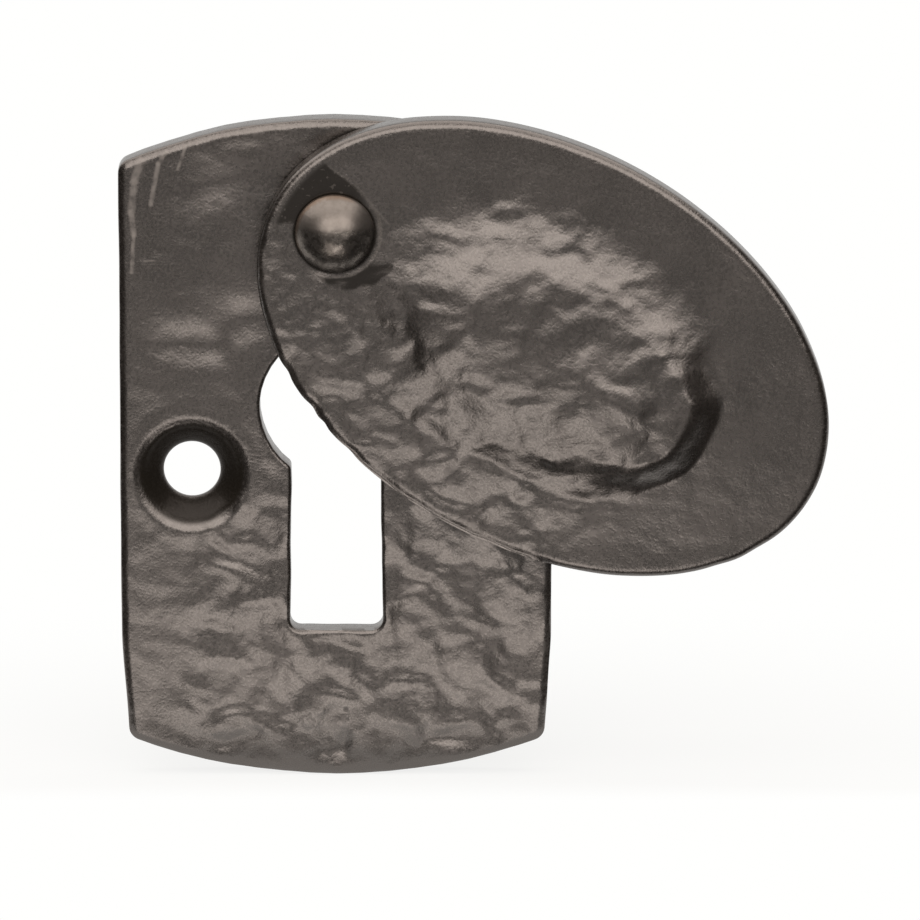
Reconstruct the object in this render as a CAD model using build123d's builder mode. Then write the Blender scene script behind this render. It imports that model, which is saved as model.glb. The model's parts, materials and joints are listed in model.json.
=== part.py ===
"""Keyhole escutcheon: an arched iron plate, an oval cover that swings over the keyhole, and its rivet.

Millimetres. +Z is up as on a door, the front faces -Y and the back face lies at y = 0.
The origin is midway between the two screw holes, on the back face.
"""

import os
from math import atan2, cos, degrees, radians, sin

from build123d import *

# Backplate: heights are measured up or down from the line of the screw holes
plate_width = 38.0
plate_thickness = 3.0
plate_top_corner = 27.9
plate_top_rise = 4.0
plate_bottom_corner = 24.0
plate_bottom_rise = 3.4
plate_foot_inset = 0.6
plate_foot_height = 9.0
plate_corner_radius = 1.3
plate_edge_round = 0.7

# Keyhole
keyhole_height = 6.1
keyhole_radius = 6.7
keyhole_slot_top_width = 7.7
keyhole_slot_foot_width = 8.2
keyhole_slot_depth = 14.2
keyhole_foot_radius = 1.0
keyhole_shoulder_radius = 0.6
keyhole_edge_round = 0.35

# Screw holes, for a wood screw with a countersunk head
screw_spacing = 25.4
screw_hole_diameter = 5.0
screw_sink_diameter = 9.8
screw_sink_angle = 90
screw_rim_round = 0.25

# Rivet
pivot_height = 22.4
rivet_shank_diameter = 4.0
rivet_head_diameter = 7.0
rivet_head_height = 2.2
rivet_head_land = 0.35
rivet_tail_diameter = 6.0
rivet_tail_depth = 1.2

# Cover, turned aside from hanging straight down
cover_length = 54.0
cover_width = 35.6
cover_thickness = 2.7
cover_pivot_inset = 6.0
cover_edge_round = 0.7
cover_back_round = 0.25
cover_rest_swing = 60.0

# Raised middle of the cover
dome_length = 33.0
dome_width = 25.0
dome_height = 1.5
dome_blend = 4.0

# Running clearances of the cover
cover_plate_gap = 0.15
cover_head_gap = 0.1
cover_bore_clearance = 0.06

# Places that more than one piece uses
front_plane = Plane.XZ.offset(plate_thickness)
pivot_axis = Axis((0, 0, pivot_height), (0, 1, 0))
pivot_back_plane = Plane(origin=(0, 0, pivot_height), z_dir=(0, 1, 0))
shank_radius = rivet_shank_diameter / 2
tail_radius = rivet_tail_diameter / 2
cover_back = plate_thickness + cover_plate_gap
cover_front = cover_back + cover_thickness

# The cover's own plane: its x runs from the pivot to the free end, its z faces the front
swing = radians(cover_rest_swing)
pivot_to_centre = cover_length / 2 - cover_pivot_inset
cover_plane = Plane(
    origin=(0, -cover_back, pivot_height),
    x_dir=(sin(swing), 0, -cos(swing)),
    z_dir=(0, -1, 0),
)

# The dome is the cap of a spheroid whose long axis lies far behind the cover, along its length
dome_short_radius = ((dome_width / 2) ** 2 + dome_height**2) / (2 * dome_height)
dome_long_radius = dome_short_radius * dome_length / dome_width
dome_axis_height = cover_thickness + dome_height - dome_short_radius
dome_plane = Plane(
    origin=cover_plane.from_local_coords((pivot_to_centre, 0, dome_axis_height)),
    x_dir=cover_plane.x_dir,
    z_dir=-cover_plane.y_dir,
)


with BuildPart() as backplate:
    half_width = plate_width / 2
    foot_half_width = half_width - plate_foot_inset
    foot_top = -plate_bottom_corner + plate_foot_height
    with BuildSketch(Plane.XZ) as outline:
        with BuildLine():
            top_arch = ThreePointArc(
                (-half_width, plate_top_corner),
                (0, plate_top_corner + plate_top_rise),
                (half_width, plate_top_corner),
            )
            bottom_arch = ThreePointArc(
                (foot_half_width, -plate_bottom_corner),
                (0, -plate_bottom_corner - plate_bottom_rise),
                (-foot_half_width, -plate_bottom_corner),
            )
            Polyline(top_arch @ 1, (half_width, foot_top), bottom_arch @ 0)
            Polyline(bottom_arch @ 1, (-half_width, foot_top), top_arch @ 0)
        make_face()
        corners = outline.vertices().group_by(Axis.Y)
        fillet(corners[0] + corners[-1], radius=plate_corner_radius)
    extrude(amount=plate_thickness)
    fillet(backplate.faces().sort_by(Axis.Y)[0].edges(), radius=plate_edge_round)

    # Keyhole: a round with a slot that widens a little towards its foot
    with BuildSketch(front_plane) as keyhole:
        with Locations((0, keyhole_height)):
            Circle(keyhole_radius)
        with BuildLine():
            Polyline(
                (-keyhole_slot_top_width / 2, keyhole_height),
                (keyhole_slot_top_width / 2, keyhole_height),
                (keyhole_slot_foot_width / 2, -keyhole_slot_depth),
                (-keyhole_slot_foot_width / 2, -keyhole_slot_depth),
                close=True,
            )
        make_face()
        foot_corners, shoulders = keyhole.vertices().group_by(Axis.Y)[:2]
        fillet(foot_corners, radius=keyhole_foot_radius)
        fillet(shoulders, radius=keyhole_shoulder_radius)
    extrude(amount=-plate_thickness, mode=Mode.SUBTRACT)
    keyhole_rim = backplate.faces().sort_by(Axis.Y)[0].inner_wires()[0]
    fillet(keyhole_rim.edges(), radius=keyhole_edge_round)

    # Screw holes, with the sharp rim of each countersink eased
    with Locations(front_plane):
        with GridLocations(screw_spacing, 0, 2, 1):
            CounterSinkHole(
                radius=screw_hole_diameter / 2,
                counter_sink_radius=screw_sink_diameter / 2,
                depth=plate_thickness,
                counter_sink_angle=screw_sink_angle,
            )
    front = backplate.faces().sort_by(Axis.Y)[0]
    sink_rims = [wire for wire in front.inner_wires() if len(wire.edges()) == 1]
    fillet([rim.edge() for rim in sink_rims], radius=screw_rim_round)

    # Rivet hole, countersunk at the back for the closed-over tail
    with Locations(pivot_back_plane):
        CounterSinkHole(
            radius=shank_radius,
            counter_sink_radius=tail_radius,
            depth=plate_thickness,
            counter_sink_angle=2 * degrees(atan2(tail_radius - shank_radius, rivet_tail_depth)),
        )

with BuildPart() as cover:
    # Raised middle
    with BuildSketch(dome_plane):
        with BuildLine():
            crown = EllipticalCenterArc((0, 0), dome_long_radius, dome_short_radius, arc_size=180)
            Line(crown @ 1, crown @ 0)
        make_face()
    revolve(axis=Axis(dome_plane.origin, dome_plane.x_dir))
    with BuildSketch(cover_plane.offset(cover_thickness)):
        with Locations((pivot_to_centre, 0)):
            Ellipse(cover_length / 2, cover_width / 2)
    extrude(amount=dome_short_radius, mode=Mode.INTERSECT)

    # Oval plate under it
    with BuildSketch(cover_plane):
        with Locations((pivot_to_centre, 0)):
            Ellipse(cover_length / 2, cover_width / 2)
    extrude(amount=cover_thickness)
    border, back = cover.faces().filter_by(Axis.Y).sort_by(Axis.Y)
    fillet(border.inner_wires()[0].edges(), radius=dome_blend)
    border, back = cover.faces().filter_by(Axis.Y).sort_by(Axis.Y)
    fillet(border.outer_wire().edges(), radius=cover_edge_round)
    border, back = cover.faces().filter_by(Axis.Y).sort_by(Axis.Y)
    fillet(back.outer_wire().edges(), radius=cover_back_round)

    # Hole for the rivet
    with Locations(cover_plane.offset(cover_thickness)):
        Hole(shank_radius + cover_bore_clearance, depth=cover_thickness)

with BuildPart() as rivet:
    head_base = -(cover_front + cover_head_gap)
    head_radius = rivet_head_diameter / 2
    crown_height = rivet_head_height - rivet_head_land
    crown_radius = (head_radius**2 + crown_height**2) / (2 * crown_height)
    with BuildSketch(Plane.XY.offset(pivot_height)):
        with BuildLine():
            side = Polyline(
                (0, 0),
                (tail_radius, 0),
                (shank_radius, -rivet_tail_depth),
                (shank_radius, head_base),
                (head_radius, head_base),
                (head_radius, head_base - rivet_head_land),
            )
            crown = RadiusArc(side @ 1, (0, head_base - rivet_head_height), crown_radius)
            Line(crown @ 1, side @ 0)
        make_face()
    revolve(axis=pivot_axis)

os.makedirs("parts", exist_ok=True)
for name, piece in (("backplate", backplate), ("cover", cover), ("rivet", rivet)):
    piece.part.label = name
    export_step(piece.part, f"parts/{name}.step")
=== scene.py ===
"""Keyhole escutcheon: a hammered iron plate, the oval cover that swings over its keyhole, and the rivet."""

import json
from math import acos, asin, atan2, cos, pi, radians, sin, tan

import bmesh
import bpy
import numpy as np
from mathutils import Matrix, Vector
from mathutils.geometry import delaunay_2d_cdt
from mathutils.kdtree import KDTree


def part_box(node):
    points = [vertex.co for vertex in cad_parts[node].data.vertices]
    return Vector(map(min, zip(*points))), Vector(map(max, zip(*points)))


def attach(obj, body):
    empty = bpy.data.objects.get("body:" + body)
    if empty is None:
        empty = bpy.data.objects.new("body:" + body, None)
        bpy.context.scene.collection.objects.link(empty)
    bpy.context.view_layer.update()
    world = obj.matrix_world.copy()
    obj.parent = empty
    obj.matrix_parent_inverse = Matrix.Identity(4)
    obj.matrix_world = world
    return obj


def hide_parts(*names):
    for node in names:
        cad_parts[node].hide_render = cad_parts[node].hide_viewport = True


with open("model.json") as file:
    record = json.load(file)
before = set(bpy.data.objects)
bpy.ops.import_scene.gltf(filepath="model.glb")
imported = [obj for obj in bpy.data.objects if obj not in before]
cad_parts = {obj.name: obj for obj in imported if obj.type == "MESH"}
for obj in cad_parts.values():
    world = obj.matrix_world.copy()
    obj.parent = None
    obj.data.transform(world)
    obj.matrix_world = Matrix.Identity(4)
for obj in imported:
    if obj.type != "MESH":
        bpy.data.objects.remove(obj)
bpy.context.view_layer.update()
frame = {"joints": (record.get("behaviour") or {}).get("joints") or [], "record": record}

MM = 0.001

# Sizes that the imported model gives, in millimetres
record = frame["record"]
plate_low, plate_high = [np.array(corner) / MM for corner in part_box("backplate")]
pivot_height = frame["joints"][0]["pos_m"][2] / MM
screw_dims = next(mount["dims"] for mount in record["mounts"] if mount["name"] == "screw_holes")
screw_spacing = screw_dims["spacing_x_mm"]
screw_hole_radius = screw_dims["hole_r_mm"]
plate_thickness = -plate_low[1]
plate_half_width = plate_high[0]
cover_back = -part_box("cover")[1][1] / MM
rivet_top = -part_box("rivet")[0][1] / MM

# Plate
plate_top_rise = 4.0
plate_bottom_rise = 3.4
plate_foot_inset = 0.6
plate_foot_height = 9.0
plate_corner_radius = 1.3
plate_edge_round = 0.7
keyhole_height = 6.1
keyhole_radius = 6.7
keyhole_slot_top_width = 7.7
keyhole_slot_foot_width = 8.2
keyhole_slot_depth = 14.2
keyhole_foot_radius = 1.0
keyhole_shoulder_radius = 0.6
keyhole_edge_round = 0.35
screw_sink_radius = 4.9

# Cover, in its own plane: u runs from the pivot to the free end and v up across it
cover_half_length = 27.0
cover_half_width = 17.8
cover_thickness = 2.7
cover_centre = 21.0
cover_edge_round = 0.7
cover_swing = radians(60.0)

# Raised middle of the cover
boss_half_length = 16.7
boss_half_width = 12.2

# Rivet
shank_radius = 2.0
tail_radius = 3.0
tail_depth = 1.2
head_radius = 3.5
head_base = 5.95
head_land = 0.35
bore_radius = 2.06

# Camera: where it looks, in millimetres, and from where
camera_aim = (10.9, -3.0, 1.4)
camera_azimuth = radians(0.0)
camera_elevation = radians(13.8)
camera_distance = 800.0
camera_field = 80.8


def smooth(value):
    """A soft step from 0 to 1 as the value goes from 0 to 1."""
    value = np.clip(value, 0.0, 1.0)
    return value * value * (3.0 - 2.0 * value)


def unit(arrow):
    return arrow / np.hypot(*arrow)


def swell(a, b, size, seed):
    """Smooth random heights, mostly between -1 and 1, with lumps about the given size across."""
    a = a / size + 17.3 * seed
    b = b / size - 9.1 * seed
    cell_a, cell_b = np.floor(a), np.floor(b)
    part_a, part_b = a - cell_a, b - cell_b

    def slope(step_a, step_b):
        scatter = np.sin((cell_a + step_a) * 127.1 + (cell_b + step_b) * 311.7 + seed * 74.7) * 43758.5453
        turn = 2 * pi * (scatter - np.floor(scatter))
        return np.cos(turn) * (part_a - step_a) + np.sin(turn) * (part_b - step_b)

    across = part_a**3 * (part_a * (part_a * 6 - 15) + 10)
    up = part_b**3 * (part_b * (part_b * 6 - 15) + 10)
    low = slope(0, 0) + across * (slope(1, 0) - slope(0, 0))
    high = slope(0, 1) + across * (slope(1, 1) - slope(0, 1))
    return 1.6 * (low + up * (high - low))


def spot(a, b, centre, long, short, turn=0.0):
    """A soft round or long spot, 1 in its middle, whose long side is turned by degrees."""
    turn = radians(turn)
    along = (a - centre[0]) * cos(turn) + (b - centre[1]) * sin(turn)
    across = (b - centre[1]) * cos(turn) - (a - centre[0]) * sin(turn)
    return np.exp(-0.5 * ((along / long) ** 2 + (across / short) ** 2))


def arch(half_width, rise):
    """Points of an arch from right to left, as (across, height over its springing line)."""
    radius = (half_width**2 + rise**2) / (2 * rise)
    spread = asin(half_width / radius)
    turns = np.linspace(spread, -spread, 17)
    return [(radius * sin(turn), radius * cos(turn) - radius + rise) for turn in turns]


def round_off(corners):
    """A closed path through corners given as (a, b, radius), each rounded by its radius."""
    path = []
    for number, (a, b, radius) in enumerate(corners):
        corner = np.array((a, b))
        if not radius:
            path.append(corner)
            continue
        before = unit(np.array(corners[number - 1][:2]) - corner)
        after = unit(np.array(corners[(number + 1) % len(corners)][:2]) - corner)
        half = acos(before @ after) / 2
        centre = corner + unit(before + after) * radius / sin(half)
        start = corner + before * radius / tan(half) - centre
        end = corner + after * radius / tan(half) - centre
        sweep = pi - 2 * half
        for part in np.linspace(0, 1, 9):
            path.append(centre + (start * sin((1 - part) * sweep) + end * sin(part * sweep)) / sin(sweep))
    return path


def even(path, step):
    """The same closed path with its points spread evenly, about one step apart."""
    closed = np.vstack([path, path[:1]])
    run = np.concatenate([[0.0], np.cumsum(np.hypot(*np.diff(closed, axis=0).T))])
    stops = np.linspace(0.0, run[-1], round(run[-1] / step), endpoint=False)
    return np.column_stack([np.interp(stops, run, closed[:, 0]), np.interp(stops, run, closed[:, 1])])


def oval(centre, half_length, half_width, step):
    turns = np.linspace(0, 2 * pi, 720, endpoint=False)
    across = centre[0] + half_length * np.cos(turns)
    up = centre[1] + half_width * np.sin(turns)
    return even(np.column_stack([across, up]), step)


def outward(loop):
    """Unit arrows that point out of a closed loop drawn anticlockwise."""
    along = np.roll(loop, -1, axis=0) - np.roll(loop, 1, axis=0)
    return np.column_stack([along[:, 1], -along[:, 0]]) / np.hypot(*along.T)[:, None]


def inside(points, loop):
    """Which points lie inside a closed loop."""
    found = np.zeros(len(points), bool)
    for (a0, b0), (a1, b1) in zip(loop, np.roll(loop, -1, axis=0)):
        if b0 == b1:
            continue
        crossed = (b0 > points[:, 1]) != (b1 > points[:, 1])
        found ^= crossed & (points[:, 0] < a0 + (points[:, 1] - b0) * (a1 - a0) / (b1 - b0))
    return found


def distance_to(loops, points):
    """How far each point lies from the nearest point of some loops."""
    marks = np.vstack(loops)
    tree = KDTree(len(marks))
    for number, (a, b) in enumerate(marks):
        tree.insert((a, b, 0.0), number)
    tree.balance()
    return np.array([tree.find((a, b, 0.0))[2] for a, b in points])


class Shell:
    """The skin of one piece. Its points are (across, up, depth towards the front), in millimetres."""

    def __init__(self):
        self.points = np.zeros((0, 3))
        self.faces = []

    def add(self, flat, depth):
        """Adds points at one depth and gives their numbers."""
        first = len(self.points)
        self.points = np.vstack([self.points, np.column_stack([flat, np.full(len(flat), depth)])])
        return np.arange(first, len(self.points))

    def wall(self, loop, profile, hole):
        """A strip round a loop. Each step of the profile is (how far into the metal, depth)."""
        into = outward(loop) if hole else -outward(loop)
        rings = [self.add(loop + into * step, depth) for step, depth in profile]
        for back, front in zip(rings, rings[1:]):
            for number in range(len(loop)):
                self.faces.append((back[number - 1], back[number], front[number], front[number - 1]))
        return rings[0], rings[-1]

    def sheet(self, rings, spacing):
        """Closes the face between an outer ring and the rings of its holes with even triangles."""
        loops = [self.points[ring, :2] for ring in rings]
        low, high = loops[0].min(axis=0), loops[0].max(axis=0)
        rows = []
        for number, up in enumerate(np.arange(low[1], high[1], spacing * 0.866)):
            across = np.arange(low[0] + spacing / 2 * (number % 2), high[0], spacing)
            rows.append(np.column_stack([across, np.full(len(across), up)]))
        grid = np.vstack(rows)
        grid = grid[inside(grid, loops[0])]
        for hole in loops[1:]:
            grid = grid[~inside(grid, hole)]
        grid = grid[distance_to(loops, grid) > 0.6 * spacing]
        numbers = np.concatenate(rings + [self.add(grid, self.points[rings[0][0], 2])])
        edges = []
        for ring in rings:
            first = len(edges)
            edges += [(first + k, first + (k + 1) % len(ring)) for k in range(len(ring))]
        flat = self.points[numbers, :2]
        made = delaunay_2d_cdt([Vector(point) for point in flat], edges, [], 0, 1e-7)
        source = np.array([numbers_in[0] for numbers_in in made[3]])
        triangles = source[np.array(made[2])]
        doubtful = (triangles < len(edges)).all(axis=1)
        middles = flat[triangles].mean(axis=1)
        kept = ~doubtful | inside(middles, loops[0])
        for hole in loops[1:]:
            kept &= ~(doubtful & inside(middles, hole))
        self.faces += [tuple(numbers[triangle]) for triangle in triangles[kept]]


def rounded_edge(radius, depth, back_ease):
    """The profile of a wall from an eased back edge to a rounded front edge."""
    steps = [(back_ease, 0.0), (0.3 * back_ease, 0.3 * back_ease), (0.0, back_ease)]
    steps += [(0.0, part * depth) for part in (0.3, 0.5)]
    for turn in np.linspace(0, pi / 2, 7):
        steps.append((radius * (1 - cos(turn)), depth - radius * (1 - sin(turn))))
    return steps


def make_piece(name, shell, to_frame, finish, node, body):
    """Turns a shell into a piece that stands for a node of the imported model."""
    mesh = bpy.data.meshes.new(name)
    points = (to_frame(shell.points) * MM).tolist()
    faces = [[int(number) for number in face] for face in shell.faces]
    mesh.from_pydata(points, [], faces)
    work = bmesh.new()
    work.from_mesh(mesh)
    bmesh.ops.recalc_face_normals(work, faces=work.faces)
    work.to_mesh(mesh)
    work.free()
    mesh.shade_smooth()
    mesh.set_sharp_from_angle(angle=radians(40))
    mesh.materials.append(finish)
    piece = bpy.data.objects.new(name, mesh)
    bpy.context.scene.collection.objects.link(piece)
    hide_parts(node)
    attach(piece, body)
    return piece


# Plate

plate_dents = [
    # across, up, depth, long, short, turn
    (-10.7, 26.0, 0.26, 2.9, 1.2, 14),
    (-7.9, 14.0, 0.28, 1.7, 1.2, 10),
    (-11.2, 11.6, 0.30, 1.6, 1.2, 0),
    (-14.6, 11.9, 0.18, 1.4, 1.2, 0),
    (2.0, -15.9, 0.24, 4.4, 1.7, -16),
    (-7.6, -19.8, 0.20, 3.2, 1.5, -12),
    (10.5, -20.5, 0.20, 3.8, 1.5, -15),
    (7.5, -9.5, 0.20, 3.0, 1.5, -9),
    (14.6, -15.4, 0.18, 2.2, 1.4, -5),
    (-6.9, -6.9, 0.22, 2.6, 1.5, -24),
    (-10.7, -15.2, 0.13, 1.8, 1.3, 0),
    (0.7, -24.2, 0.12, 0.9, 0.35, 80),
    (0.4, -25.0, 0.05, 0.8, 0.5, 50),
]


def plate_relief(x, z):
    """How far the hammered front lies under the plain one."""
    lower = smooth((4.0 - z) / 12.0) * (0.15 + 0.85 * smooth((x + 15.0) / 5.0))
    drift_x = x + 0.9 * swell(x, z, 4.0, 21)
    drift_z = z + 0.9 * swell(x, z, 4.0, 22)
    relief = 0.36 + 0.08 * swell(x, z, 8.0, 1)
    relief = relief + (0.036 + 0.130 * lower) * swell(drift_x + 0.4 * drift_z, drift_z * 1.15, 3.0, 2)
    relief = relief + (0.009 + 0.032 * lower) * swell(drift_x, drift_z * 1.1, 1.5, 3)
    relief = relief + (0.004 + 0.014 * lower) * swell(x, z, 0.75, 4)
    for across, up, depth, long, short, turn in plate_dents:
        relief = relief + depth * spot(x, z, (across, up), long, short, turn)
    return np.maximum(relief, 0.02)


def plate_shell():
    shell = Shell()
    top_corner = plate_high[2] - plate_top_rise
    bottom_corner = plate_low[2] + plate_bottom_rise
    foot_half_width = plate_half_width - plate_foot_inset
    foot_top = bottom_corner + plate_foot_height
    top = [(a, top_corner + h, 0) for a, h in arch(plate_half_width, plate_top_rise)]
    bottom = [(-a, bottom_corner - h, 0) for a, h in arch(foot_half_width, plate_bottom_rise)]
    for run in (top, bottom):
        for end in (0, -1):
            run[end] = (*run[end][:2], plate_corner_radius)
    corners = top + [(-plate_half_width, foot_top, 30)] + bottom + [(plate_half_width, foot_top, 30)]
    outline = even(round_off(corners), 0.25)
    outline -= outward(outline) * (0.05 + 0.05 * swell(outline[:, :1], outline[:, 1:], 5.0, 31))
    outer = shell.wall(outline, rounded_edge(plate_edge_round, plate_thickness, 0.25), hole=False)

    slot_half = keyhole_slot_top_width / 2 + 0.07
    shoulder = atan2(-((keyhole_radius**2 - slot_half**2) ** 0.5), slot_half)
    turns = np.linspace(shoulder, pi - shoulder, 31)
    path = [(keyhole_radius * cos(t), keyhole_height + keyhole_radius * sin(t), 0) for t in turns]
    for end in (0, -1):
        path[end] = (*path[end][:2], keyhole_shoulder_radius)
    foot = keyhole_slot_foot_width / 2
    path += [(side, -keyhole_slot_depth, keyhole_foot_radius) for side in (-foot, foot)]
    keyhole = even(round_off(path), 0.22)
    keyhole += outward(keyhole) * 0.06 * swell(keyhole[:, :1], keyhole[:, 1:], 3.0, 32)
    inner = [shell.wall(keyhole, rounded_edge(keyhole_edge_round, plate_thickness, 0.2), hole=True)]

    sink = screw_sink_radius - screw_hole_radius
    sink_floor = plate_thickness - sink
    sink_profile = [(0.15, 0.0), (0.0, 0.15), (0.0, sink_floor - 0.1), (0.08, sink_floor + 0.05)]
    sink_profile += [(sink * part, plate_thickness - sink * (1 - part)) for part in (0.2, 0.4, 0.6, 0.8)]
    for step, drop in ((-0.25, 0.28), (-0.08, 0.14), (0.12, 0.05), (0.35, 0.0)):
        sink_profile.append((sink + step, plate_thickness - drop))
    for side in (-1, 1):
        screw_hole = oval((side * screw_spacing / 2, 0.0), screw_hole_radius, screw_hole_radius, 0.13)
        inner.append(shell.wall(screw_hole, sink_profile, hole=True))

    rivet_hole = oval((0.0, pivot_height), shank_radius, shank_radius, 0.2)
    tail_profile = [(tail_radius - shank_radius, 0.0), (0.0, tail_depth), (0.0, plate_thickness)]
    inner.append(shell.wall(rivet_hole, tail_profile, hole=True))

    shell.sheet([outer[0]] + [ring[0] for ring in inner], 0.8)
    shell.sheet([outer[1]] + [ring[1] for ring in inner], 0.24)

    x, z, depth = shell.points.T
    front = smooth((depth - plate_thickness + plate_edge_round) / plate_edge_round)
    rims = [shell.points[ring, :2] for ring in [outer[1]] + [ring[1] for ring in inner[:3]]]
    rim = 0.8 + 0.2 * smooth(distance_to(rims, shell.points[:, :2]) / 1.6)
    back = smooth(1 - depth / 0.2)
    shell.points[:, 2] = depth - front * rim * plate_relief(x, z)
    shell.points[:, 2] += back * (0.05 + 0.05 * swell(x, z, 5.0, 41))
    return shell


def plate_to_frame(points):
    return np.column_stack([points[:, 0], -points[:, 2], points[:, 1]])


# Cover

hump_centre = (6.2, -2.2)


def over(value, softness):
    """The value where it is above 0, and 0 below, with a soft turn between."""
    return 0.5 * (value + np.sqrt(value**2 + softness))


def boss_height(u, v):
    """Height of the raised middle over the border, with u measured from the middle of the cover."""
    turn = np.degrees(np.arctan2(v / boss_half_width, u / boss_half_length))
    reach = np.hypot(u / boss_half_length, v / boss_half_width) * (1 + 0.04 * swell(u, v, 6.0, 51))
    turns = [-180, -140, -90, -60, -35, -15, 15, 35, 55, 75, 110, 150, 180]
    flanks = [0.55, 0.50, 0.42, 0.36, 0.23, 0.18, 0.19, 0.32, 0.46, 0.50, 0.54, 0.56, 0.55]
    part = np.clip((1 - reach) / np.interp(turn, turns, flanks), 0.0, 1.0)
    flank = 0.45 * part + 0.55 * smooth(part)
    fall = 0.035 + 0.095 * (1 - smooth((u - 7.0) / 5.5))
    crown = 1.58 - 0.068 * over(v + 0.5, 2.0) - fall * over(-1.5 - v, 2.0)
    across, up = u - hump_centre[0], v - hump_centre[1]
    off = np.hypot(across, up)
    hump = 0.42 * (1 - smooth(off / 7.4))
    groove = 0.07 * np.exp(-(((off - 5.8) / 0.6) ** 2)) * smooth((across / (off + 0.1) - 0.2) / 0.5)
    return flank * np.maximum(crown, 0.05) + smooth(part * 2) * (hump - groove)


cover_dents = [
    # along, across, depth, long, short, turn
    (-9.0, -10.6, 0.14, 4.2, 0.7, -18),
    (-12.4, -11.6, 0.06, 2.2, 0.5, 115),
    (3.6, -10.9, 0.13, 3.4, 0.4, 3),
    (10.0, -9.9, 0.12, 2.8, 0.45, 27),
]


def cover_relief(u, v):
    """How far the hammered front lies under the plain one, with u measured from the middle of the cover."""
    on_boss = smooth((1.15 - np.hypot(u / boss_half_length, v / boss_half_width)) / 0.3)
    low_left = smooth(-v / 5.0) * smooth((15.0 - u) / 8.0)
    rough = np.maximum(0.6 * on_boss, low_left)
    level = u * sin(cover_swing) + v * cos(cover_swing)
    rise = v * sin(cover_swing) - u * cos(cover_swing)
    drift_level = level + 0.9 * swell(level, rise, 4.0, 61)
    drift_rise = rise + 0.9 * swell(level, rise, 4.0, 62)
    relief = 0.16 + 0.07 * swell(level, rise, 8.0, 63) + 0.065 * low_left * over(-9.5 - v, 1.0)
    relief = relief + (0.022 + 0.104 * rough) * swell(drift_level, drift_rise * 1.2, 2.6, 64)
    relief = relief + (0.006 + 0.030 * rough) * swell(drift_level, drift_rise * 1.1, 1.3, 65)
    relief = relief + (0.003 + 0.014 * rough) * swell(level, rise, 0.7, 66)
    for along, across, depth, long, short, turn in cover_dents:
        relief = relief + depth * spot(u, v, (along, across), long, short, turn)
    return relief


# Nicks in the edge of the cover: along, across, depth, width
cover_nicks = [
    (6.0, -14.8, 0.22, 0.6),
    (7.6, -15.5, 0.16, 0.4),
    (2.6, -13.0, 0.15, 0.5),
    (10.8, -16.5, 0.12, 0.6),
    (46.4, -6.2, 0.08, 0.9),
    (44.0, -9.2, 0.08, 0.8),
]


def cover_shell():
    shell = Shell()
    outline = oval((cover_centre, 0.0), cover_half_length, cover_half_width, 0.25)
    outline -= outward(outline) * (0.04 + 0.04 * swell(outline[:, :1], outline[:, 1:], 5.0, 71))
    for along, across, depth, width in cover_nicks:
        nick = depth * spot(outline[:, :1], outline[:, 1:], (along, across), width, width)
        outline -= outward(outline) * nick
    outer = shell.wall(outline, rounded_edge(cover_edge_round, cover_thickness, 0.25), hole=False)
    bore = oval((0.0, 0.0), bore_radius, bore_radius, 0.2)
    inner = shell.wall(bore, [(0.0, 0.0), (0.0, cover_thickness / 2), (0.0, cover_thickness)], hole=True)
    shell.sheet([outer[0], inner[0]], 0.8)
    shell.sheet([outer[1], inner[1]], 0.24)

    u, v, depth = shell.points.T
    front = smooth((depth - cover_thickness + cover_edge_round) / cover_edge_round)
    edge = shell.points[outer[1], :2]
    rim = 0.8 + 0.2 * smooth(distance_to([edge], shell.points[:, :2]) / 1.6)
    back = smooth(1 - depth / 0.2)
    from_middle = u - cover_centre
    shell.points[:, 2] = depth + front * (boss_height(from_middle, v) - rim * cover_relief(from_middle, v))
    shell.points[:, 2] += back * (0.05 + 0.05 * swell(u, v, 5.0, 81))
    return shell


def cover_to_frame(points):
    along, across, depth = points.T
    x = along * sin(cover_swing) + across * cos(cover_swing)
    z = pivot_height - along * cos(cover_swing) + across * sin(cover_swing)
    return np.column_stack([x, -cover_back - depth, z])


# Rivet


def rivet_shell():
    shell = Shell()
    circle = oval((0.0, 0.0), 1.0, 1.0, 0.06)
    profile = [(tail_radius, 0.0), (shank_radius, tail_depth), (shank_radius, head_base)]
    profile += [(head_radius - 0.12, head_base), (head_radius, head_base + 0.12)]
    crown = rivet_top - head_base - head_land
    crown_radius = (head_radius**2 + crown**2) / (2 * crown)
    spread = asin(head_radius / crown_radius)
    for turn in np.linspace(spread, 0.04, 22):
        profile.append((crown_radius * sin(turn), rivet_top - crown_radius * (1 - cos(turn))))
    ends = shell.wall(circle, [(radius - 1.0, depth) for radius, depth in profile], hole=True)
    shell.sheet([ends[0]], 0.4)
    shell.sheet([ends[1]], 0.08)
    a, b, depth = shell.points.T
    head = smooth((depth - head_base) / 0.8)
    hammered = 0.03 * swell(a, b, 1.6, 91) + 0.016 * swell(a, b, 0.7, 92)
    dents = 0.05 + smooth((1.4 - b) / 1.6) * hammered
    shell.points[:, 2] = depth - head * np.maximum(dents, 0.0)
    shell.points[:, 2] += smooth(1 - depth / 0.2) * (0.06 + 0.05 * swell(a, b, 1.5, 93))
    return shell


def rivet_to_frame(points):
    return np.column_stack([points[:, 0], -points[:, 2], pivot_height + points[:, 1]])


# Finishes: colours

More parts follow.
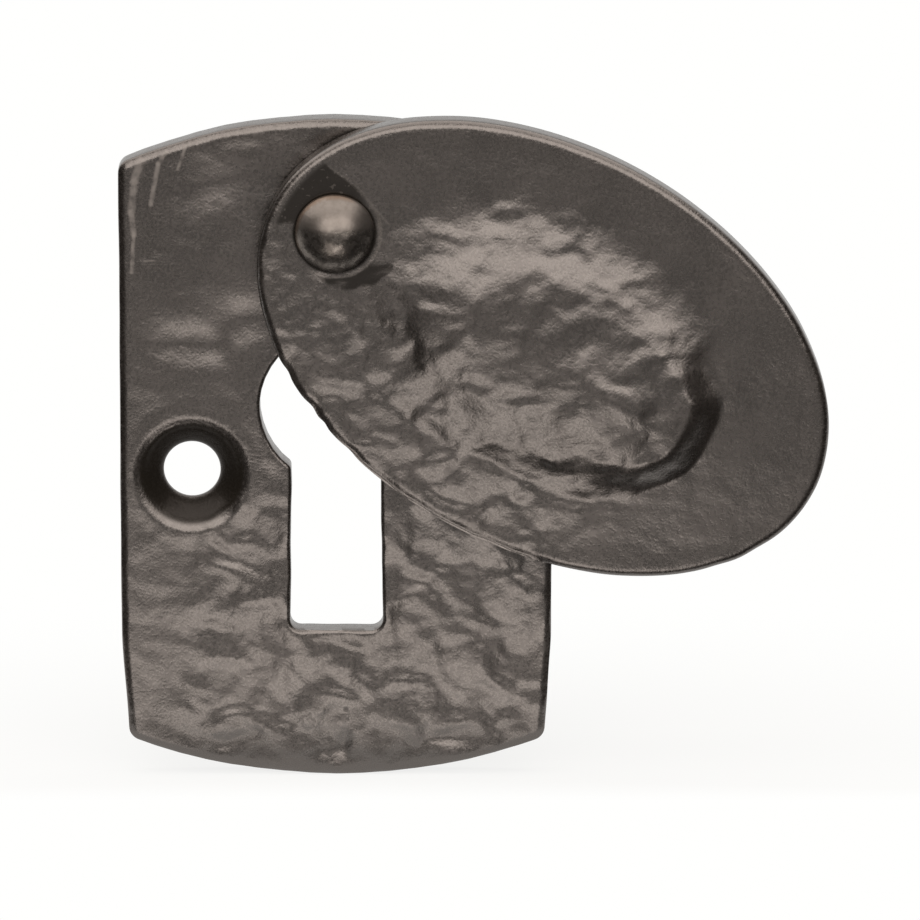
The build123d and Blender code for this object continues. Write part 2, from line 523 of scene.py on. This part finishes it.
paint_deep = (0.0075, 0.0058, 0.0046)
paint_pale = (0.0120, 0.0094, 0.0077)
paint_grain = (0.028, 0.0236, 0.0206)
paint_sheen_tint = (1.0, 0.905, 0.845)
paint_refraction = 2.12
# Dark matt coat: painted shade in the countersinks and the crevice round the rivet, and a matt finish on
# the touched-in black
matt_black_and_shade = (0.012, 0.0098, 0.0074)
pinhole_black = (0.006, 0.005, 0.0045)
rubbed_streak = (0.17, 0.150, 0.134)
touch_up_black = (0.0062, 0.0052, 0.0044)
# Pale specks painted on the touched-in black as glints
touch_up_glint_speck = (0.09, 0.078, 0.068)
touch_up_edge = (0.10, 0.088, 0.078)
rivet_ring = (0.11, 0.096, 0.084)
steel_bright = (0.19, 0.166, 0.147)
steel_dulled = (0.115, 0.099, 0.086)
# Painted shade on the lower half of the rivet head
steel_lower_shade = (0.06, 0.052, 0.045)
steel_rusty = (0.13, 0.075, 0.042)
# Painted shade on the lower rim of the rivet head
steel_rim_shade = (0.03, 0.026, 0.022)
floor_matt = (0.8, 0.8, 0.79)
room_white = (1.0, 1.0, 0.99)


# Finishes: nodes


class Wire:
    """A value that runs between nodes. Sums with it add Math nodes."""

    def __init__(self, recipe, socket):
        self.recipe = recipe
        self.socket = socket

    def maths(self, operation, first, second):
        return self.recipe.node("ShaderNodeMath", {"operation": operation}, {0: first, 1: second})

    def larger(self, other):
        return self.maths("MAXIMUM", self, other)

    def size(self):
        return self.maths("ABSOLUTE", self, 0.0)

    def __add__(self, other):
        return self.maths("ADD", self, other)

    def __radd__(self, other):
        return self.maths("ADD", other, self)

    def __sub__(self, other):
        return self.maths("SUBTRACT", self, other)

    def __rsub__(self, other):
        return self.maths("SUBTRACT", other, self)

    def __mul__(self, other):
        return self.maths("MULTIPLY", self, other)

    def __rmul__(self, other):
        return self.maths("MULTIPLY", other, self)

    def __pow__(self, other):
        return self.maths("POWER", self, other)

    def __rpow__(self, other):
        return self.maths("POWER", other, self)


class Recipe:
    """The nodes of one finish."""

    def __init__(self, tree):
        self.tree = tree
        tree.nodes.clear()

    def node(self, kind, settings, sockets, output=0):
        """Adds a node: its settings first, then the values or wires of its sockets."""
        node = self.tree.nodes.new(kind)
        for name, value in settings.items():
            setattr(node, name, value)
        for name, value in sockets.items():
            if isinstance(value, Wire):
                self.tree.links.new(value.socket, node.inputs[name])
            else:
                node.inputs[name].default_value = value
        return Wire(self, node.outputs[output]) if node.outputs else node

    def place(self):
        """Where a point of the piece lies, in millimetres."""
        metres = self.node("ShaderNodeTexCoord", {}, {}, "Object")
        return self.node("ShaderNodeVectorMath", {"operation": "SCALE"}, {0: metres, "Scale": 1 / MM})

    def sides(self, place):
        """The across and up parts of a place."""
        return [self.node("ShaderNodeSeparateXYZ", {}, {0: place}, side) for side in ("X", "Z")]

    def forward(self, place, low, high):
        """A soft step from 0 to 1 as a place goes from low to high towards the front."""
        return self.ramp(0.0 - self.node("ShaderNodeSeparateXYZ", {}, {0: place}, "Y"), low, high)

    def noise(self, place, size, detail=2.0, rough=0.5):
        """A cloudy value from 0 to 1, with clouds about the given size in millimetres."""
        sockets = {"Vector": place, "Scale": 1 / size, "Detail": detail, "Roughness": rough}
        return self.node("ShaderNodeTexNoise", {}, sockets)

    def ramp(self, value, low, high):
        """A soft step from 0 to 1 as the value goes from low to high."""
        sockets = {"Value": value, "From Min": low, "From Max": high}
        return self.node("ShaderNodeMapRange", {"interpolation_type": "SMOOTHSTEP"}, sockets)

    def blend(self, mask, below, above):
        """One colour laid over another where the mask is 1."""
        below, above = [(*c, 1.0) if isinstance(c, tuple) else c for c in (below, above)]
        return self.node("ShaderNodeMix", {"data_type": "RGBA"}, {0: mask, 6: below, 7: above}, 2)

    def away(self, sides, centre):
        """Distance from a point of the face."""
        across, up = sides[0] - centre[0], sides[1] - centre[1]
        return (across * across + up * up) ** 0.5

    def stroke(self, sides, start, end, width):
        """A soft-edged stroke between two points of the face."""
        run = (end[0] - start[0], end[1] - start[1])
        across, up = sides[0] - start[0], sides[1] - start[1]
        along = (across * run[0] + up * run[1]) * (1 / (run[0] ** 2 + run[1] ** 2))
        part = self.node("ShaderNodeClamp", {}, {"Value": along})
        off_across, off_up = across - part * run[0], up - part * run[1]
        off = (off_across * off_across + off_up * off_up) ** 0.5
        return 1 - self.ramp(off, 0.2 * width, 1.1 * width)


def new_finish(name):
    material = bpy.data.materials.new(name)
    material.use_nodes = True
    return material, Recipe(material.node_tree)


def iron_paint(name, marks):
    """Black paint on cast iron. The marks of a piece change its colour, roughness and height, and say where
    a dark matt coat goes: painted shade in recesses, a matt finish on touched-in black.
    """
    material, recipe = new_finish(name)
    place = recipe.place()
    cloud = recipe.noise(place, 5.0, detail=3)
    grain = recipe.noise(place, 0.22, detail=2)
    orange_peel = recipe.noise(place, 0.9, detail=2)
    colour = recipe.blend(recipe.ramp(cloud, 0.35, 0.7), paint_deep, paint_pale)
    colour = recipe.blend(recipe.ramp(grain, 0.55, 0.8) * 0.5, colour, paint_grain)
    roughness = 0.24 + 0.08 * cloud + 0.28 * (grain - 0.5)
    height = grain * 0.9 + orange_peel * 1.6
    colour, roughness, height, matt_and_shade_mask = marks(recipe, place, colour, roughness, height)
    normal = recipe.node("ShaderNodeBump", {}, {"Strength": 0.5, "Distance": 0.00004, "Height": height})
    paint = recipe.node(
        "ShaderNodeBsdfPrincipled",
        {},
        {
            "Base Color": colour,
            "Roughness": roughness,
            "Metallic": 0.0,
            "IOR": paint_refraction,
            "Specular Tint": (*paint_sheen_tint, 1.0),
            "Normal": normal,
        },
    )
    # Dark matt coat laid where the marks say: painted shade in recesses, matt on touched-in black
    matt_and_shade_coat = recipe.node("ShaderNodeBsdfDiffuse", {}, {"Color": (*matt_black_and_shade, 1.0)})
    both = recipe.node("ShaderNodeMixShader", {}, {0: matt_and_shade_mask, 1: paint, 2: matt_and_shade_coat})
    recipe.node("ShaderNodeOutputMaterial", {}, {"Surface": both})
    return material


# Pale rubbed streaks near the top left corner of the plate: start, end, width
plate_streaks = [
    ((-16.9, 28.2), (-17.5, 26.4), 0.50),
    ((-17.5, 26.4), (-17.8, 23.6), 0.44),
    ((-17.8, 23.6), (-17.6, 21.6), 0.34),
    ((-17.6, 21.6), (-17.8, 18.2), 0.24),
    ((-14.7, 29.0), (-15.4, 27.9), 0.26),
    ((-15.4, 27.9), (-16.1, 24.3), 0.28),
    ((-13.0, 29.5), (-13.7, 27.4), 0.20),
    ((-16.7, 19.2), (-15.7, 19.25), 0.12),
]

# Pinholes in the lower part of the plate: across, up, radius
plate_pinholes = [
    (-3.9, -21.3, 0.26),
    (0.8, -21.4, 0.28),
    (0.9, -22.3, 0.20),
    (-9.1, -19.0, 0.22),
    (-8.8, -16.7, 0.22),
    (9.1, -15.8, 0.20),
    (-13.2, -20.6, 0.14),
]


def plate_marks(recipe, place, colour, roughness, height):
    sides = recipe.sides(place)
    front = recipe.forward(place, 0.3, 0.9)
    breakup = recipe.ramp(recipe.noise(place, 0.9, detail=3), 0.25, 0.6) * front
    for start, end, width in plate_streaks:
        streak = recipe.stroke(sides, start, end, width) * breakup
        colour = recipe.blend(streak * 0.65, colour, rubbed_streak)
        roughness = roughness + streak * 0.12
    for across, up, radius in plate_pinholes:
        pit = front * (1 - recipe.ramp(recipe.away(sides, (across, up)), 0.2 * radius, radius))
        colour = recipe.blend(pit * 0.8, colour, pinhole_black)
        roughness = roughness + pit * 0.4
        height = height - pit * 1.6
    # Painted shade: the dark matt coat laid into the countersinks of the screw holes
    matt_and_shade_mask = 0.0
    for side in (-0.5, 0.5):
        sunk = 1 - recipe.ramp(recipe.away(sides, (side * screw_spacing, 0.0)), 4.3, 4.8)
        matt_and_shade_mask = matt_and_shade_mask + sunk * front * 0.82
    return colour, roughness, height, matt_and_shade_mask


def cover_marks(recipe, place, colour, roughness, height):
    """Black touched in round the rivet after it was closed, with pale specks of painted glint on it and
    painted shade in the crevice round the rivet head.
    """
    sides = recipe.sides(place)
    across, up = sides[0], sides[1] - pivot_height
    from_pivot = recipe.away(sides, (0.0, pivot_height))
    waver = recipe.noise(place, 1.2, detail=4, rough=0.6) - 0.5
    slant = across * 0.763 + up * 0.646 + recipe.ramp(up, 3.6, 7.0) * 0.8
    above = 1 - recipe.ramp(slant + waver * 0.9, 3.85, 4.2)
    above = above * recipe.ramp(up + waver * 1.0, 0.6, 1.1) * (1 - 0.75 * recipe.ramp(across, 1.6, 3.4))
    below = 1 - recipe.ramp(recipe.away(sides, (1.5, pivot_height - 0.9)) + waver * 1.2, 3.95, 4.35)
    below = below * (1 - recipe.ramp(up + waver, -3.1, -2.3))
    below = below * recipe.ramp(from_pivot + waver * 0.4, 3.95, 4.2)
    along = across * sin(cover_swing) - up * cos(cover_swing) - cover_centre
    aside = across * cos(cover_swing) + up * sin(cover_swing)
    length_part = along * (1 / cover_half_length)
    width_part = aside * (1 / cover_half_width)
    reach = (length_part ** 2 + width_part ** 2) ** 0.5
    front = recipe.forward(place, cover_back + 1.2, cover_back + 2.0)
    patch = above.larger(below) * (1 - recipe.ramp(reach, 0.952, 0.972)) * front
    stretch = {0: place, 1: (0.6, 1.0, 1.5)}
    long_grain = recipe.node("ShaderNodeVectorMath", {"operation": "MULTIPLY"}, stretch)
    ridges = recipe.noise(long_grain, 1.0, detail=2)
    # Painted glints: pale specks on the touched-in black stand for its specular speckles
    glint_specks = recipe.ramp(recipe.noise(place, 0.4, detail=1), 0.66, 0.76)
    colour = recipe.blend(patch, colour, touch_up_black)
    colour = recipe.blend(patch * glint_specks * 0.6, colour, touch_up_glint_speck)
    roughness = roughness * (1 - patch) + patch * (0.22 + 0.3 * glint_specks)
    height = height * (1 - patch) + patch * (0.7 + 1.3 * ridges)
    rim_line = 1 - recipe.ramp((slant - 4.05).size() + waver * 0.3, 0.05, 0.22)
    rim_line = rim_line * recipe.ramp(up, 0.4, 1.2) * recipe.ramp(across, -1.5, 0.5) * front
    colour = recipe.blend(rim_line * 0.35, colour, touch_up_edge)
    ring = from_pivot - 4.0 + waver * 0.5
    ring_line = (1 - recipe.ramp(ring.size(), 0.05, 0.2)) * recipe.ramp(across - up, 0.0, 3.0)
    colour = recipe.blend(ring_line * front * 0.45, colour, rivet_ring)
    # Painted shade: the dark matt coat laid into the crevice round the rivet head
    crevice_shade = front * (1 - recipe.ramp(from_pivot + waver * 0.2, 3.55, 3.8))
    matt_and_shade_mask = (patch * 0.6).larger(crevice_shade * 0.85)
    return colour, roughness, height, matt_and_shade_mask


def rivet_steel(name):
    """Bare steel, dulled by handling, with painted shade on the lower half and the lower rim of its head,
    and a trace of rust at its rim.
    """
    material, recipe = new_finish(name)
    place = recipe.place()
    sides = recipe.sides(place)
    across, up = sides[0], sides[1] - pivot_height
    from_pivot = recipe.away(sides, (0.0, pivot_height))
    stain = recipe.noise(place, 0.9, detail=4, rough=0.65)
    pits = recipe.noise(place, 0.3, detail=3)
    head = recipe.forward(place, 2.0, 5.0)
    low = (1 - recipe.ramp(up + (stain - 0.5) * 1.6, 0.2, 1.1)) * head
    colour = recipe.blend(recipe.ramp(stain, 0.4, 0.7) * 0.4, steel_bright, steel_dulled)
    # Painted shade: the lower half of the head darkened, broken up by the stain clouds
    lower_shade = low * recipe.ramp(stain + (pits - 0.5) * 0.5, 0.42, 0.62) * 0.65
    colour = recipe.blend(lower_shade, colour, steel_lower_shade)
    rim = recipe.ramp(from_pivot + (stain - 0.5) * 0.5, 3.1, 3.4)
    rust = rim * recipe.ramp(up - across, 0.5, 2.5) * 0.55
    shade = rim * (1 - recipe.ramp(up, -0.5, 1.5)) * 0.6
    colour = recipe.blend(rust, colour, steel_rusty)
    colour = recipe.blend(shade, colour, steel_rim_shade)
    roughness = 0.31 + 0.12 * stain - 0.1 * low
    height = stain + 0.4 * pits
    normal = recipe.node("ShaderNodeBump", {}, {"Strength": 0.5, "Distance": 0.00005, "Height": height})
    steel = recipe.node(
        "ShaderNodeBsdfPrincipled",
        {},
        {"Base Color": colour, "Roughness": roughness, "Metallic": 0.9, "Normal": normal},
    )
    recipe.node("ShaderNodeOutputMaterial", {}, {"Surface": steel})
    return material


def floor_white(name):
    """A white shelf that keeps a soft shadow close to the piece."""
    material, recipe = new_finish(name)
    place = recipe.place()
    across = recipe.node("ShaderNodeSeparateXYZ", {}, {0: place}, "X") - 8.0
    deep = recipe.node("ShaderNodeSeparateXYZ", {}, {0: place}, "Y")
    far = recipe.ramp((across * across * 0.35 + deep * deep) ** 0.5, 4.0, 60.0)
    far = far.larger(1 - recipe.ramp(deep, -11.5, -4.0))
    matt = recipe.node("ShaderNodeBsdfDiffuse", {}, {"Color": (*floor_matt, 1.0)})
    glow = recipe.node("ShaderNodeEmission", {}, {"Color": (*room_white, 1.0), "Strength": 1.0})
    lit = seen_by_eye(recipe) * (0.82 + 0.18 * far)
    both = recipe.node("ShaderNodeMixShader", {}, {0: lit, 1: matt, 2: glow})
    recipe.node("ShaderNodeOutputMaterial", {}, {"Surface": both})
    return material


def light_rays(recipe):
    """Whether a ray comes from the camera, from a reflection or through glass."""
    kinds = ("Is Camera Ray", "Is Glossy Ray", "Is Transmission Ray")
    return [recipe.node("ShaderNodeLightPath", {}, {}, kind) for kind in kinds]


def seen_by_eye(recipe):
    """1 where the camera sees something, straight or in a reflection."""
    camera_ray, glossy_ray, through_ray = light_rays(recipe)
    return camera_ray.larger(glossy_ray).larger(through_ray)


# Pieces

make_piece(
    "plate_casting",
    plate_shell(),
    plate_to_frame,
    iron_paint("plate_iron", plate_marks),
    node="backplate",
    body="plate",
)
make_piece(
    "cover_casting",
    cover_shell(),
    cover_to_frame,
    iron_paint("cover_iron", cover_marks),
    node="cover",
    body="cover",
)
make_piece(
    "rivet_turned",
    rivet_shell(),
    rivet_to_frame,
    rivet_steel("rivet_steel"),
    node="rivet",
    body="plate",
)


# Stage


def lay_floor():
    height = plate_low[2] * MM
    mesh = bpy.data.meshes.new("floor")
    corners = [(-0.2, -0.012, height), (0.2, -0.012, height), (0.2, 0.3, height), (-0.2, 0.3, height)]
    mesh.from_pydata(corners, [], [(0, 1, 2, 3)])
    mesh.materials.append(floor_white("floor_white"))
    floor = bpy.data.objects.new("floor", mesh)
    bpy.context.scene.collection.objects.link(floor)


def light_room():
    """A white room behind the piece and a dim one in front of it."""
    world = bpy.data.worlds.new("room")
    bpy.context.scene.world = world
    world.use_nodes = True
    recipe = Recipe(world.node_tree)
    camera_ray, glossy_ray, through_ray = light_rays(recipe)
    direction = recipe.node("ShaderNodeTexCoord", {}, {}, "Generated")
    backwards = recipe.node("ShaderNodeSeparateXYZ", {}, {0: direction}, "Y")
    behind = recipe.ramp(backwards, -0.1, 0.4)
    white = camera_ray.larger((glossy_ray + through_ray) * behind)
    ahead = recipe.ramp(0.0 - backwards, 0.75, 0.95)
    dim = 0.03 + 0.25 * ahead
    strength = dim * (1 - white) + white
    glow = recipe.node("ShaderNodeBackground", {}, {"Color": (*room_white, 1.0), "Strength": strength})
    recipe.node("ShaderNodeOutputWorld", {}, {"Surface": glow})


lamp_colour = (1.0, 0.95, 0.91)


def hang_lamp(name, place, aim, size, radiance):
    """A soft box, placed and sized in millimetres, whose face has the given brightness."""
    lamp = bpy.data.lights.new(name, "AREA")
    lamp.shape = "RECTANGLE"
    lamp.size, lamp.size_y = size[0] * MM, size[1] * MM
    lamp.energy = 4 * radiance * lamp.size * lamp.size_y
    lamp.color = lamp_colour
    box = bpy.data.objects.new(name, lamp)
    box.location = Vector(place) * MM
    box.rotation_euler = (Vector(aim) - Vector(place)).to_track_quat("-Z", "Y").to_euler()
    box.visible_camera = False
    bpy.context.scene.collection.objects.link(box)


def set_camera():
    aim = Vector(camera_aim)
    away = Vector((
        sin(camera_azimuth) * cos(camera_elevation),
        -cos(camera_azimuth) * cos(camera_elevation),
        sin(camera_elevation),
    ))
    lens = bpy.data.cameras.new("camera")
    lens.sensor_width = 36.0
    lens.lens = 36.0 * camera_distance / camera_field
    lens.clip_start, lens.clip_end = 0.01, 10.0
    camera = bpy.data.objects.new("camera", lens)
    camera.location = (aim + away * camera_distance) * MM
    camera.rotation_euler = (-away).to_track_quat("-Z", "Y").to_euler()
    bpy.context.scene.collection.objects.link(camera)
    bpy.context.scene.camera = camera


lay_floor()
light_room()
hang_lamp("top_box", place=(30, -400, 205), aim=(8, 0, 0), size=(640, 330), radiance=2.2)
hang_lamp("over_box", place=(-150, -60, 400), aim=(-150, 0, 10), size=(1100, 400), radiance=1.6)
hang_lamp("low_card", place=(-8, -150, -93), aim=(-4, 0, -5), size=(104, 76), radiance=1.85)
set_camera()
bpy.context.scene.view_settings.view_transform = "Standard"
